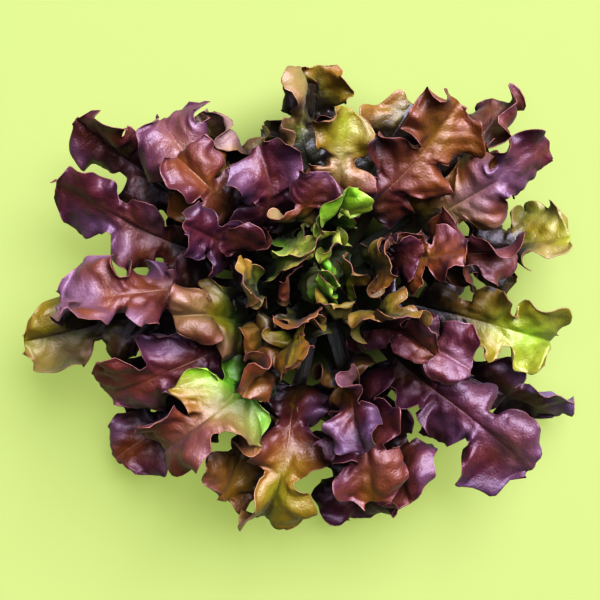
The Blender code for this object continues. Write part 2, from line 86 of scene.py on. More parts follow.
# The stem's profile, which the leaves' feet follow too
stem = {
    "footRadius": 0.0155,
    "neckRadius": 0.0145,
    "tipRadius": 0.0068,
    "height": 0.060,
    "shoulder": 0.25,
    "hollowness": 1.15,
    "slope": 0.18,
    "sides": 72,
    "rings": 26,
    # seams of older leaves, which wind round the stem between two heights, and the room that
    # it leaves them inside its profile
    "seams": 5,
    "seamTurn": 1100,
    "seamHeight": 0.0004,
    "seamPlaces": (0.001, 0.058),
    "seamRoom": 0.0003,
    "cutEdge": 0.0006,
    "sharpAngle": 40.0,
}

# What every leaf blade has in common. Places are shares of the way from foot to tip.
blade = {
    "lobeCentres": (0.385, 0.62, 0.87),
    "lobeHalfLengths": (0.11, 0.104, 0.127),
    "lobeWidths": (0.84, 1.0, 0.92),
    "lobeScatter": (0.78, 1.16),
    "waistWidth": 0.0056,
    "waistPlaces": (0.15, 0.5),
    "stalkNarrowing": 0.3,
    "stalkEnd": 0.2,
    "outerHalfWidth": (0.024, 0.031),
    "innerHalfWidth": (0.022, 0.028),
    "innerShrink": (0.62, 1.0),
    # how steeply lobes stand up from the rib, in radians, and how they curl, per metre
    "lobeFold": (-0.2, 1.1),
    "foldReach": 1.25,
    "lobeCurl": 85.0,
    "weakestCurl": 0.2,
    "leastCurl": 1e-3,
    "curlsBack": 0.8,
    "heartCalm": 0.3,
    "curlLimit": 1.9,
    "footCurlEnd": 0.35,
    "sweep": (0.1, 0.34),
    "sweepPlaces": (0.25, 0.5),
    "tipHold": 0.05,
    "tipPlaces": (0.68, 0.80),
    # how a leaf runs from its foot to its tip, in radians unless the name says otherwise
    "outerTipCurl": (-1.0, 0.7),
    "innerTipCurl": (-1.5, 0.2),
    "heartTipCurl": (-1.2, 0.4),
    "tipStart": 0.70,
    "tipBend": 3.2,
    "twistDegrees": 55.0,
    "twistStart": 0.15,
    "heartTwist": 0.4,
    "sway": 0.016,
    "heartSway": 0.5,
    "wave": (0.14, 0.30),
    "waves": (2.4, 3.8),
    "wavePlaces": (0.15, 0.4),
    "nod": 0.3,
    "nods": (1.0, 1.7),
    "nodPlaces": (0.25, 0.5),
    "leanStart": 0.1,
    "stretch": (0.85, 1.2),
    "solidThickness": 0.0008,
    "ribThickness": 0.0024,
    "ribLoss": 0.85,
    "ribTaper": 1.4,
    "ribSpread": 1.6,
    "footThickness": 0.0007,
    "footLoss": 0.9,
    "footEnd": 0.25,
    "touchGap": 0.0004,
}

# The frame's rows along a leaf, and how its leaves were bent clear of each other
bending = {
    "rows": (
        0.0, 0.09, 0.18, 0.26, 0.32, 0.385, 0.45, 0.505,
        0.56, 0.62, 0.68, 0.735, 0.79, 0.865, 0.94, 1.0,
    ),
    "columns": 4,
    "clearGap": 0.0022,
    "floorGap": 0.0009,
    "wallGap": 0.0012,
    "rounds": 240,
    "roundsASearch": 5,
    "reachOfTouch": 0.011,
    "sideOfTouch": 0.0080,
    "deepestPush": 0.004,
    "longestStep": 0.0015,
    "stepShare": 0.6,
    "floorShare": 0.8,
    "wallShare": 1.6,
    "spreads": 3,
    "spreadShare": (0.18, 0.60),
    "slack": 0.02,
    "heldRows": (0.03, 0.27),
}

# The fine leaves: what the frame's coarse ones leave out
fineBlade = {
    "footRows": 9,
    "lobeRows": 27,
    "columns": 34,
    # where one lobe gives way to the next, and how far rows crowd there and columns at the rib
    "lobeEnds": (0.25, 0.505, 0.7375, 1.0),
    "rowCrowding": 0.55,
    "columnCrowding": 0.5,
    "thickness": 0.0005,
    "rimThickness": 0.00032,
    "thinWithin": 0.004,
    "footExtra": 0.0003,
    "ribHalfWidth": (0.0030, 0.0006),
    "ribTaper": 1.2,
    "ribGroove": 0.0005,
    "groovePlaces": (0.05, 0.3),
    "floorGap": 0.0006,
    "reliefPlaces": (0.18, 0.42),
    # frills and ripples, which grow towards the rim, and how it rolls over
    "frillHeight": 0.0055,
    "frillLength": 0.0228,
    "frillShare": 2.6,
    "frillScatter": (0.75, 0.5),
    "driftLength": 0.030,
    "drift": 2.5,
    "rippleHeight": 0.0008,
    "rippleLength": 0.0052,
    "rippleStart": 0.55,
    "rimRoll": 0.0056,
    "rollLength": 0.026,
    "rollStart": 0.66,
    "rollsDown": 0.15,
    "rollRadius": 0.0040,
    # swellings between the side veins, and blisters
    "veinSpacing": 0.0105,
    "veinLean": 0.75,
    "veinBend": 0.22,
    "veinBendSize": (0.020, 0.012),
    "veinOffset": 0.45,
    "puckerHeight": 0.0009,
    "puckerShape": 0.8,
    "ribCalm": 0.004,
    "blisterHeight": 0.0012,
    "blisterSize": 0.0070,
    "finerBlisters": (0.5, 2.1),
    # how far a half lobe bulges up or hollows out
    "spoonDepth": (0.0018, 0.0050),
    "spoonReach": 1.1,
    "spoonShape": 0.9,
    # the outline: fuller, uneven lobes and wider waists
    "fuller": 0.05,
    "fullerPlaces": (0.25, 0.4),
    "waistWidth": 0.0118,
    "waistStart": (0.28, 0.45),
    "waistEnd": (0.94, 1.0),
    "scallop": 0.055,
    "scallopLength": 0.060,
    "finerScallops": (0.7, 2.3),
    # the tip's rib is drawn finer than its distance says
    "faintRib": 0.0012,
    "faintPlaces": (0.60, 0.88),
}


def smoothStep(low, high, value):
    share = np.clip((value - low) / (high - low), 0.0, 1.0)
    return share * share * (3 - 2 * share)


def between(ends, share):
    return ends[0] + (ends[1] - ends[0]) * share


def stemRadius(height):
    share = np.clip(height / stem["height"], 0.0, 1.0)
    shoulder = stem["shoulder"]
    below = stem["footRadius"] + (stem["neckRadius"] - stem["footRadius"]) * share / shoulder
    fall = np.clip((share - shoulder) / (1 - shoulder), 0.0, 1.0)
    above = stem["neckRadius"] + (stem["tipRadius"] - stem["neckRadius"]) * fall ** stem["hollowness"]
    return np.where(share < shoulder, below, above)


# How each of a leaf's six half lobes is folded up from the rib, curls and is sized
def planLobes(draw, inner):
    folds, curls, sizes = [], [], []
    for _ in range(6):
        fold = draw.uniform(*blade["lobeFold"]) * (1 - blade["heartCalm"] * inner)
        curl = draw.uniform(blade["weakestCurl"], 1.0) * (-1 if fold > 0 else 1)
        if draw.random() > blade["curlsBack"]:
            curl = -curl
        folds.append(fold)
        curls.append(curl)
        sizes.append(draw.uniform(*blade["lobeScatter"]))
    return folds, curls, sizes


# The same seeded draws, in the same order, as the frame's leaf was made with
def planLeaf(index, total):
    draw = random.Random(head["seed"] + 1000 * index + 100 * head["redrawn"].get(index + 1, 0))
    outerCount = len(head["outerLeaves"])
    age = index / (total - 1)
    inner = max((index - outerCount) / (head["innerLeaves"] - 1), 0.0)
    if index < outerCount:
        azimuth, reach, tipHeight = head["outerLeaves"][index]
        halfWidth = draw.uniform(*blade["outerHalfWidth"])
        tipCurl = draw.uniform(*blade["outerTipCurl"])
    else:
        azimuth = head["innerStart"] + (index - outerCount) * head["goldenAngle"]
        azimuth += draw.uniform(-head["angleScatter"], head["angleScatter"])
        reach = between(head["innerReach"], inner ** head["growth"])
        reach *= draw.uniform(*head["reachScatter"])
        heights = (head["innerHeight"], head["heartHeight"])
        tipHeight = between(heights, min(inner / head["heartFull"], 1.0) ** head["growth"])
        tipHeight *= draw.uniform(*head["heightScatter"])
        tipHeight -= head["heartDip"] * max(inner - head["heartFull"], 0.0) / (1 - head["heartFull"])
        halfWidth = draw.uniform(*blade["innerHalfWidth"])
        halfWidth *= 1 - blade["innerShrink"][0] * inner ** blade["innerShrink"][1]
        curls = (draw.uniform(*blade["innerTipCurl"]), draw.uniform(*blade["heartTipCurl"]))
        tipCurl = between(curls, inner)
    folds, curls, sizes = planLobes(draw, inner)
    return {
        "azimuth": math.radians(azimuth),
        "reach": reach,
        "tipHeight": tipHeight,
        "start": math.radians(between(head["steepness"], age ** head["steepChange"])),
        "halfWidth": halfWidth,
        "footWidth": between(head["footWidths"], age ** head["widthChange"]),
        "rib": blade["ribThickness"] * (1 - blade["ribLoss"] * age),
        "foot": blade["footThickness"] * (1 - blade["footLoss"] * age),
        "lobeFold": folds,
        "lobeCurl": curls,
        "lobeSize": sizes,
        "sweep": draw.uniform(*blade["sweep"]),
        "tipCurl": tipCurl,
        "twist": math.radians(
            draw.uniform(-blade["twistDegrees"], blade["twistDegrees"]) * (1 + blade["heartTwist"] * inner)
        ),
        "sway": draw.uniform(-blade["sway"], blade["sway"]) * (1 - blade["heartSway"] * inner),
        "wave": draw.uniform(*blade["wave"]),
        "waves": draw.uniform(*blade["waves"]),
        "phase": (draw.uniform(0, math.tau), draw.uniform(0, math.tau)),
        "nod": draw.uniform(-blade["nod"], blade["nod"]),
        "nods": draw.uniform(*blade["nods"]),
        "lean": inner,
        "number": index + 1,
    }


def planLeaves():
    total = len(head["outerLeaves"]) + head["innerLeaves"]
    plans = [planLeaf(index, total) for index in range(total)]
    stackFeet(plans)
    return plans


# Sets the height of each foot on the stem, just above the older feet that it overlaps
def stackFeet(plans):
    for index, plan in enumerate(plans):
        age = index / (len(plans) - 1)
        plan["footHeight"] = between(head["lowestFeet"], age ** head["footChange"])
        thickness = blade["solidThickness"] + plan["rib"] + plan["foot"] + head["footGap"]
        rise = thickness / (math.cos(plan["start"]) + stem["slope"] * math.sin(plan["start"]))
        for older in plans[:index]:
            apart = abs((plan["azimuth"] - older["azimuth"] + math.pi) % math.tau - math.pi)
            room = plan["footWidth"] + older["footWidth"] + head["footGap"]
            if apart * float(stemRadius(older["footHeight"])) < room:
                plan["footHeight"] = max(plan["footHeight"], older["footHeight"] + rise)


# How far inside a lobe each place along the leaf is: 1 in its middle, 0 from its ends on
def withinLobe(along, lobe, reach=1.0):
    offset = (along - blade["lobeCentres"][lobe]) / (blade["lobeHalfLengths"][lobe] * reach)
    return np.clip(1 - offset**2, 0.0, 1.0)


# The outline of the frame's leaf: a stalk, and lobes with waists between them
def halfWidths(plan, along, side):
    stalk = plan["footWidth"] * (1 - blade["stalkNarrowing"] * smoothStep(0.0, blade["stalkEnd"], along))
    wider = blade["waistWidth"] - (1 - blade["stalkNarrowing"]) * plan["footWidth"]
    width = stalk + wider * smoothStep(*blade["waistPlaces"], along)
    for lobe in range(3):
        full = plan["halfWidth"] * blade["lobeWidths"][lobe] * plan["lobeSize"][2 * lobe + side]
        width = np.maximum(width, full * np.sqrt(withinLobe(along, lobe)))
    return width


# The outline of a fine leaf: its lobes are fuller and uneven, and its waists are wider
def scalloped(plan, along, side, width):
    place = along / fineBlade["scallopLength"]
    strength, count = fineBlade["finerScallops"]
    edge = softNoise(place, 9.0 * side, plan["number"] + 500)
    edge = edge + strength * softNoise(place * count, 9.0 * side + 4, plan["number"] + 501)
    fuller = fineBlade["fuller"] + fineBlade["scallop"] * edge
    width = width * (1 + fuller * smoothStep(*fineBlade["fullerPlaces"], along))
    waist = fineBlade["waistWidth"] * plan["halfWidth"] / blade["outerHalfWidth"][1]
    waist = waist * smoothStep(*fineBlade["waistStart"], along)
    return np.maximum(width, waist * (1 - smoothStep(*fineBlade["waistEnd"], along)))


# How tightly a half of the leaf curls across: round the stem at its foot, then lobe by lobe
def crossCurl(plan, along, side, footRadius):
    curl = 1 / footRadius * (1 - smoothStep(0.0, blade["footCurlEnd"], along))
    for lobe in range(3):
        strength = plan["lobeCurl"][2 * lobe + side] * blade["lobeCurl"]
        curl = curl + strength * withinLobe(along, lobe)
    return np.where(np.abs(curl) < blade["leastCurl"], blade["leastCurl"], curl)


# How steeply a half of the leaf stands up from the rib
def foldAcross(plan, along, side):
    fold = np.zeros_like(along)
    for lobe in range(3):
        fold = fold + plan["lobeFold"][2 * lobe + side] * withinLobe(along, lobe, blade["foldReach"])
    return fold


# How far out and how high the rib runs, how steep it is, and how far it should reach
def ribLine(plan, along, footRadius):
    run = plan["reach"] - footRadius
    rise = plan["tipHeight"] - plan["footHeight"]
    bend = 2 * (plan["start"] - math.atan2(rise, run))
    length = math.hypot(run, rise) * (bend / 2) / math.sin(bend / 2)
    steep = plan["start"] - bend * along
    steep = steep + plan["tipCurl"] * np.clip(along - blade["tipStart"], 0.0, 1.0) * blade["tipBend"]
    nod = np.sin(math.tau * plan["nods"] * (along - blade["nodPlaces"][0]))
    nod = nod * smoothStep(*blade["nodPlaces"], along)
    steep = steep + plan["nod"] * nod
    middle = (steep[1:] + steep[:-1]) / 2
    step = np.diff(along) * length
    out = np.concatenate([[0.0], np.cumsum(np.cos(middle) * step)])
    up = np.concatenate([[0.0], np.cumsum(np.sin(middle) * step)])
    return out, up, steep, run


# The upper face of a leaf as it would grow with nothing in its way
def leafPoints(plan, along, across, fine=False):
    footRadius = float(stemRadius(plan["footHeight"])) + blade["touchGap"]
    # How far a leaf is stretched is read from the frame's own rows, so that both agree
    coarseOut = ribLine(plan, np.array(bending["rows"]), footRadius)[0]
    out, up, steep, run = ribLine(plan, along, footRadius)
    stretch = min(max(run / max(coarseOut.max(), 0.001), blade["stretch"][0]), blade["stretch"][1])
    out, up = footRadius + out * stretch, plan["footHeight"] + up * stretch
    twist = plan["twist"] * smoothStep(blade["twistStart"], 1.0, along)
    sway = plan["sway"] * along**2
    points = np.zeros((len(along), len(across), 3))
    cosine, sine = math.cos(plan["azimuth"]), math.sin(plan["azimuth"])
    for column, share in enumerate(across):
        side = int(share > 0)
        width = halfWidths(plan, along, side)
        if fine:
            width = scalloped(plan, along, side, width)
        distance = abs(share) * width
        turn = crossCurl(plan, along, side, footRadius) * distance
        turn = np.clip(turn, -blade["curlLimit"], blade["curlLimit"])
        curl = turn / np.maximum(distance, 1e-6)
        curl = np.where(np.abs(curl) < blade["leastCurl"], blade["leastCurl"], curl)
        flat = np.sin(curl * distance) / curl
        risen = (1 - np.cos(curl * distance)) / curl
        fold = foldAcross(plan, along, side)
        sideways = (flat * np.cos(fold) - risen * np.sin(fold)) * (1 if side else -1)
        lift = flat * np.sin(fold) + risen * np.cos(fold)
        ruffle = np.sin(math.tau * plan["waves"] * along + plan["phase"][side])
        lift = lift + plan["wave"] * share**2 * width * ruffle * smoothStep(*blade["wavePlaces"], along)
        # The side lobes sweep forward and the sides of the tip are held back
        sweep = plan["sweep"] * smoothStep(*blade["sweepPlaces"], along)
        sweep = sweep - (plan["sweep"] + blade["tipHold"]) * smoothStep(*blade["tipPlaces"], along)
        forward = sweep * share**2 * width
        level = sideways * np.cos(twist) - lift * np.sin(twist) + sway
        raised = sideways * np.sin(twist) + lift * np.cos(twist)
        radial = out + forward * np.cos(steep) - raised * np.sin(steep)
        points[:, column, 0] = radial * cosine - level * sine
        points[:, column, 1] = radial * sine + level * cosine
        points[:, column, 2] = up + forward * np.sin(steep) + raised * np.cos(steep)
    lean = plan["lean"] * smoothStep(blade["leanStart"], 1.0, along)[:, None]
    points[:, :, 0] += head["heartLean"][0] * lean
    points[:, :, 1] += head["heartLean"][1] * lean
    return points


# Thickness of the frame's leaf at each of its points
def solidThickness(plan):
    places = np.array(bending["rows"])[:, None]
    across = np.abs(np.linspace(-1.0, 1.0, bending["columns"] + 1))[None, :]
    rib = plan["rib"] * (1 - places) ** blade["ribTaper"]
    rib = rib * np.clip(1 - across * blade["ribSpread"], 0.0, 1.0)
    foot = plan["foot"] * (1 - smoothStep(0.0, blade["footEnd"], places)) * np.ones_like(across)
    return blade["solidThickness"] + rib + foot


# Adds a point in the middle of every edge of the grids' triangles
def doubled(grids):
    count, rows, columns, size = grids.shape
    rib = columns // 2
    fine = np.empty((count, 2 * rows - 1, 2 * columns - 1, size))
    fine[:, ::2, ::2] = grids
    fine[:, 1::2, ::2] = (grids[:, 1:] + grids[:, :-1]) / 2
    fine[:, ::2, 1::2] = (grids[:, :, 1:] + grids[:, :, :-1]) / 2
    fine[:, 1::2, 1 : 2 * rib : 2] = (grids[:, :-1, 1 : rib + 1] + grids[:, 1:, :rib]) / 2
    fine[:, 1::2, 2 * rib + 1 :: 2] = (grids[:, :-1, rib:-1] + grids[:, 1:, rib + 1 :]) / 2
    return fine


def faceDirections(grids):
    down = np.gradient(grids, axis=1)
    over = np.gradient(grids, axis=2)
    normal = np.cross(down, over)
    return normal / np.maximum(np.linalg.norm(normal, axis=3, keepdims=True), 1e-12)


# Numbers of the points, on the older leaf and on the younger, that lie near each other
def touchingPairs(leaves):
    count, size = leaves.shape[:2]
    reach = bending["reachOfTouch"]
    low = leaves.min(axis=1) - reach
    high = leaves.max(axis=1) + reach
    older, younger = [], []
    for a in range(count):
        for b in range(a + 1, count):
            boxLow, boxHigh = np.maximum(low[a], low[b]), np.minimum(high[a], high[b])
            if (boxLow > boxHigh).any():
                continue
            here = np.flatnonzero(((leaves[a] >= boxLow) & (leaves[a] <= boxHigh)).all(axis=1))
            there = np.flatnonzero(((leaves[b] >= boxLow) & (leaves[b] <= boxHigh)).all(axis=1))
            if not len(here) or not len(there):
                continue
            first, second = leaves[a][here], leaves[b][there]
            square = (first**2).sum(1)[:, None] + (second**2).sum(1)[None, :] - 2 * first @ second.T
            nearest = square.argmin(axis=1)
            close = square[np.arange(len(here)), nearest] < reach**2
            older.append(a * size + here[close])
            younger.append(b * size + there[nearest[close]])
            nearest = square.argmin(axis=0)
            close = square[nearest, np.arange(len(there))] < reach**2
            older.append(a * size + here[nearest[close]])
            younger.append(b * size + there[close])
    return np.concatenate(older), np.concatenate(younger)


# Pushes a younger leaf up and an older one down where the gap between them is too small
def leafPushes(points, facing, thickness, older, younger):
    across = points[younger] - points[older]
    way = facing[older]
    height = np.einsum("ij,ij->i", across, way)
    aside = np.linalg.norm(across - height[:, None] * way, axis=1)
    need = bending["clearGap"] + thickness[younger]
    near = (aside < bending["sideOfTouch"]) & (height < need)
    depth = np.clip(need[near] - height[near], 0.0, bending["deepestPush"])[:, None] * way[near]
    push = np.zeros_like(points)
    weight = np.zeros(len(points))
    for which, sign in ((older[near], -0.5), (younger[near], 0.5)):
        for axis in range(3):
            push[:, axis] += np.bincount(which, sign * depth[:, axis], len(points))
        weight += np.bincount(which, minlength=len(points))
    return push / np.maximum(weight, 1.0)[:, None]


# Lifts points off the floor and pushes them out of the stem
def boundsPushes(points, thickness):
    push = np.zeros_like(points)
    sunk = np.clip(bending["floorGap"] + thickness - points[:, 2], 0.0, None)
    push[:, 2] = sunk * bending["floorShare"]
    radius = np.linalg.norm(points[:, :2], axis=1)
    inReach = points[:, 2] < stem["height"] + bending["wallGap"]
    wall = (stemRadius(points[:, 2]) + bending["wallGap"]) * inReach
    outwards = points[:, :2] / np.maximum(radius, 1e-6)[:, None]
    push[:, :2] += outwards * np.clip(wall - radius, 0.0, None)[:, None] * bending["wallShare"]
    return push


# The pushes on a doubled grid, summed at the points of the coarse one
def gathered(push):
    sums = push[:, ::2, ::2].copy()
    sums[:, 1:] += push[:, 1::2, ::2] * 0.5
    sums[:, :-1] += push[:, 1::2, ::2] * 0.5
    sums[:, :, 1:] += push[:, ::2, 1::2] * 0.5
    sums[:, :, :-1] += push[:, ::2, 1::2] * 0.5
    return sums


# Draws each point's shift towards the mean of its neighbours'
def spread(shift, share):
    padded = np.pad(shift, ((0, 0), (1, 1), (1, 1), (0, 0)), mode="edge")
    mean = (padded[:, :-2, 1:-1] + padded[:, 2:, 1:-1]) * 0.25
    mean += (padded[:, 1:-1, :-2] + padded[:, 1:-1, 2:]) * 0.25
    return shift + (mean - shift) * share


# How far the frame's points moved until every younger leaf lay above the older ones
def bendClear(plans, grown):
    thickness = np.array([solidThickness(plan) for plan in plans])
    fineThickness = doubled(thickness[..., None]).reshape(-1)
    hold = smoothStep(*bending["heldRows"], np.array(bending["rows"]))[None, :, None, None]
    shift = np.zeros_like(grown)
    for turn in range(bending["rounds"]):
        coarse = grown + shift * hold
        fine = doubled(coarse)
        points = fine.reshape(-1, 3)
        if turn % bending["roundsASearch"] == 0:
            older, younger = touchingPairs(fine.reshape(len(grown), -1, 3))
        facing = doubled(faceDirections(coarse)).reshape(-1, 3)
        facing /= np.maximum(np.linalg.norm(facing, axis=1, keepdims=True), 1e-9)
        push = leafPushes(points, facing, fineThickness, older, younger)
        push += boundsPushes(points, fineThickness)
        step = gathered(push.reshape(fine.shape)) * bending["stepShare"]
        size = np.linalg.norm(step, axis=3, keepdims=True)
        shift += step * np.minimum(1.0, bending["longestStep"] / np.maximum(size, 1e-9))
        calm = 1 - turn / bending["rounds"]
        for _ in range(bending["spreads"]):
            shift = spread(shift, between(bending["spreadShare"], calm))
        shift *= 1 - bending["slack"] * calm
    return shift * hold


# A smooth curve through values that are known at the knots
def curved(values, knots, at):
    knots = np.asarray(knots, float)
    slopes = np.gradient(values, knots, axis=0)
    k = np.clip(np.searchsorted(knots, at, side="right") - 1, 0, len(knots) - 2)
    gap = (knots[k + 1] - knots[k])[:, None, None]
    t = (at - knots[k])[:, None, None] / gap
    first, second = values[k], values[k + 1]
    leaving, arriving = slopes[k] * gap, slopes[k + 1] * gap
    rise = 3 * t**2 - 2 * t**3
    return (
        (1 - rise) * first + rise * second
        + (t**3 - 2 * t**2 + t) * leaving + (t**3 - t**2) * arriving
    )


# How far the bending moved each point of the fine grid
def fineShift(shift, along, across):
    rows = curved(shift, bending["rows"], along)
    knots = np.linspace(-1, 1, bending["columns"] + 1)
    return curved(rows.swapaxes(0, 1), knots, across).swapaxes(0, 1)


# Rows stand closer where a lobe begins and ends, columns closer at the rib and the rim
def fineGrid():
    ends = fineBlade["lobeEnds"]
    rows = [np.linspace(0.0, ends[0], fineBlade["footRows"] + 1)[:-1]]
    even = np.linspace(0.0, 1.0, fineBlade["lobeRows"] + 1)
    eased = (1 - np.cos(math.pi * even)) / 2
    crowding = fineBlade["rowCrowding"]
    for low, high in zip(ends, ends[1:]):
        rows.append(low + (high - low) * (crowding * eased + (1 - crowding) * even)[:-1])
    rows.append([1.0])
    half = np.linspace(0.0, 1.0, fineBlade["columns"] // 2 + 1)
    half = half - fineBlade["columnCrowding"] * np.sin(math.tau * half) / math.tau
    return np.concatenate(rows), np.concatenate([-half[:0:-1], half])


# Random heights at whole numbers with soft slopes between them, from -1 to 1
def softNoise(x, y, seed):
    x, y = np.broadcast_arrays(x, y)
    table = np.random.default_rng(seed).uniform(-1, 1, (64, 64))
    xWhole, yWhole = np.floor(x).astype(int), np.floor(y).astype(int)
    xPart, yPart = x - xWhole, y - yWhole
    xPart, yPart = xPart * xPart * (3 - 2 * xPart), yPart * yPart * (3 - 2 * yPart)
    corner = [[table[(xWhole + i) % 64, (yWhole + j) % 64] for j in (0, 1)] for i in (0, 1)]
    low = corner[0][0] * (1 - xPart) + corner[1][0] * xPart
    high = corner[0][1] * (1 - xPart) + corner[1][1] * xPart
    return low * (1 - yPart) + high * yPart


# Where a point lies in the blade itself: along the rib, out from it, along the rim and in from it
def bladeDistances(points, across):
    middle = len(across) // 2
    left = across[None, :] < 0
    steps = np.linalg.norm(np.diff(points, axis=0), axis=2)
    travelled = np.vstack([np.zeros(len(across)), np.cumsum(steps, axis=0)])
    run = np.repeat(travelled[:, middle : middle + 1], len(across), axis=1)
    widths = np.linalg.norm(np.diff(points, axis=1), axis=2)
    out = np.hstack([np.zeros((len(points), 1)), np.cumsum(widths, axis=1)])
    out = out - out[:, middle : middle + 1]
    rim = np.where(left, travelled[:, :1], travelled[:, -1:])
    toRim = np.where(left, out - out[:, :1], out[:, -1:] - out)
    return run, out, rim, toRim


# Long frills and short ripples along the rim, and how far the rim rolls up or down
def rimFrills(rim, share, side, size, seed):
    drift = softNoise(rim / fineBlade["driftLength"], side, seed)
    frill = np.sin(math.tau * rim / fineBlade["frillLength"] + fineBlade["drift"] * drift + side)
    mean, scatter = fineBlade["frillScatter"]
    frill = frill * fineBlade["frillHeight"] * size * (mean + scatter * drift)
    ripple = softNoise(rim / fineBlade["rippleLength"] * 2, side + 7, seed + 1)
    ripple = ripple * fineBlade["rippleHeight"] * smoothStep(fineBlade["rippleStart"], 1.0, share)
    roll = softNoise(rim / fineBlade["rollLength"], side + 3, seed + 2) - fineBlade["rollsDown"]
    rolled = fineBlade["rimRoll"] * size * smoothStep(fineBlade["rollStart"], 1.0, share) * roll
    return frill * share ** fineBlade["frillShare"] + ripple, rolled


# Side veins run out and forwards from the rib, and the blade swells up between them
def veinSwells(run, out, share, left, seed):
    longBend, wideBend = fineBlade["veinBendSize"]
    phase = (run - fineBlade["veinLean"] * np.abs(out)) / fineBlade["veinSpacing"]
    phase = phase + fineBlade["veinBend"] * softNoise(run / longBend, out / wideBend, seed + 3)
    phase = phase + np.where(left, 0.0, fineBlade["veinOffset"])
    swell = np.abs(np.sin(math.pi * phase)) ** fineBlade["puckerShape"]
    swell = swell * (1 - np.exp(-np.abs(out) / fineBlade["ribCalm"]))
    return phase, fineBlade["puckerHeight"] * (swell - 0.5) * (1 - 0.5 * share**4)


def blisters(run, out, seed):
    size = fineBlade["blisterSize"]
    strength, count = fineBlade["finerBlisters"]
    blister = softNoise(run / size, out / size, seed + 4)
    blister = blister + strength * softNoise(run / size * count, out / size * count, seed + 5)
    return fineBlade["blisterHeight"] * blister * smoothStep(0.0, fineBlade["ribCalm"], np.abs(out))


# Each half lobe bulges up or hollows out like a spoon, but not at the rib or the rim
def spoons(plan, along, across, size):
    hollow = np.zeros((len(along), len(across)))
    for lobe in range(3):
        within = withinLobe(along, lobe, fineBlade["spoonReach"])[:, None]
        for half in range(2):
            draw = random.Random(1000 * plan["number"] + 2 * lobe + half)
            depth = draw.uniform(*fineBlade["spoonDepth"]) * draw.choice((-1, 1))
            there = np.sign(across)[None, :] == 2 * half - 1
            hollow = hollow + depth * within * there
    return hollow * np.sin(math.pi * np.abs(across)[None, :] ** fineBlade["spoonShape"]) * size


# A leaf in full detail: its upper face, its thickness, and the fields that its finish reads
def fineLeaf(plan, shift):
    along, across = fineGrid()
    points = leafPoints(plan, along, across, True) + fineShift(shift, along, across)
    run, out, rim, toRim = bladeDistances(points, across)
    place = along[:, None]
    share = np.abs(across)[None, :]
    left = across[None, :] < 0
    side = np.where(left, 0.0, 31.7)  # so that the two rims have their own frills
    size = plan["halfWidth"] / blade["outerHalfWidth"][1]
    seed = 100 * plan["number"]
    grown = smoothStep(*fineBlade["reliefPlaces"], place)
    frills, rolled = rimFrills(rim, share, side, size, seed)
    rolled = rolled * grown
    phase, swells = veinSwells(run, out, share, left, seed)
    lift = (frills + swells + blisters(run, out, seed)) * grown + rolled
    lift = lift + spoons(plan, along, across, size)
    # A groove over the rib
    ribWidth = between(fineBlade["ribHalfWidth"], place)
    ribbed = np.exp(-((out / ribWidth) ** 2))
    groove = fineBlade["ribGroove"] * (1 - place) * smoothStep(*fineBlade["groovePlaces"], place)
    lift = lift - groove * ribbed

    settled = points + faceDirections(points[None])[0] * lift[..., None]
    # Where the rim rolls, it is also drawn in
    inwards = -np.gradient(points, axis=1) * np.sign(across)[None, :, None]
    inwards = inwards / np.maximum(np.linalg.norm(inwards, axis=2, keepdims=True), 1e-9)
    settled = settled + inwards * (rolled**2 / (2 * fineBlade["rollRadius"]))[..., None]
    settled[..., 2] = np.maximum(settled[..., 2], fineBlade["thickness"] + fineBlade["floorGap"])

    rib = plan["rib"] * (1 - place) ** fineBlade["ribTaper"] * ribbed
    foot = (plan["foot"] + fineBlade["footExtra"]) * (1 - smoothStep(0.0, blade["footEnd"], place))
    thin = smoothStep(0.0, fineBlade["thinWithin"], toRim)
    thickness = between((fineBlade["rimThickness"], fineBlade["thickness"] + rib + foot), thin)
    faint = fineBlade["faintRib"] * smoothStep(*fineBlade["faintPlaces"], place)
    return {
        "points": settled, "thickness": thickness, "run": run, "out": out,
        "along": place + np.zeros_like(out), "share": share + np.zeros_like(out),
        "veinPhase": phase, "fromRim": toRim, "fromRib": np.abs(out) + faint,
    }


# How red each leaf is at its base and at its tip, from 0, green, to 1, nearly black
redLeaves = {
    1: (0.80, 0.86), 2: (0.80, 0.88), 3: (0.34, 0.50), 4: (0.60, 0.80), 5: (0.64, 0.42),
    6: (0.66, 0.82), 7: (0.52, 0.90), 8: (0.50, 0.76), 9: (0.80, 0.40), 10: (0.86, 0.80),
    11: (0.42, 0.58), 12: (0.32, 0.50), 13: (0.42, 0.56), 14: (0.52, 0.30), 15: (0.70, 0.84),
    16: (0.52, 0.86), 17: (0.86, 0.42), 18: (0.94, 0.88), 19: (0.86, 0.80), 20: (0.36, 0.48),
    21: (0.84, 0.76), 22: (0.76, 0.66), 23: (0.44, 0.80), 24: (0.86, 0.76), 25: (-0.04, 0.72),
    26: (0.60, 0.80), 27: (0.84, 0.80), 28: (0.56, 0.90), 29: (0.80, 0.44), 30: (0.34, 0.64),
    31: (0.80, 0.82), 32: (0.90, 0.86), 33: (0.40, 0.62), 34: (0.60, 0.72), 35: (0.88, 0.92),
    36: (0.82, 0.82), 37: (0.30, 0.84), 38: (0.30, 0.60), 39: (0.80, 0.86), 40: (0.62, 0.80),
    41: (0.24, 0.56), 42: (0.10, 0.16), 43: (0.20, 0.46), 44: (0.34, 0.56), 45: (0.10, 0.24),
    46: (0.30, 0.56), 47: (0.30, 0.60), 48: (0.10, 0.26), 49: (0.20, 0.46), 50: (0.10, 0.20),
    51: (0.40, 0.70), 52: (0.20, 0.46), 53: (0.06, 0.10), 54: (0.06, 0.12), 55: (0.04, 0.10),
}

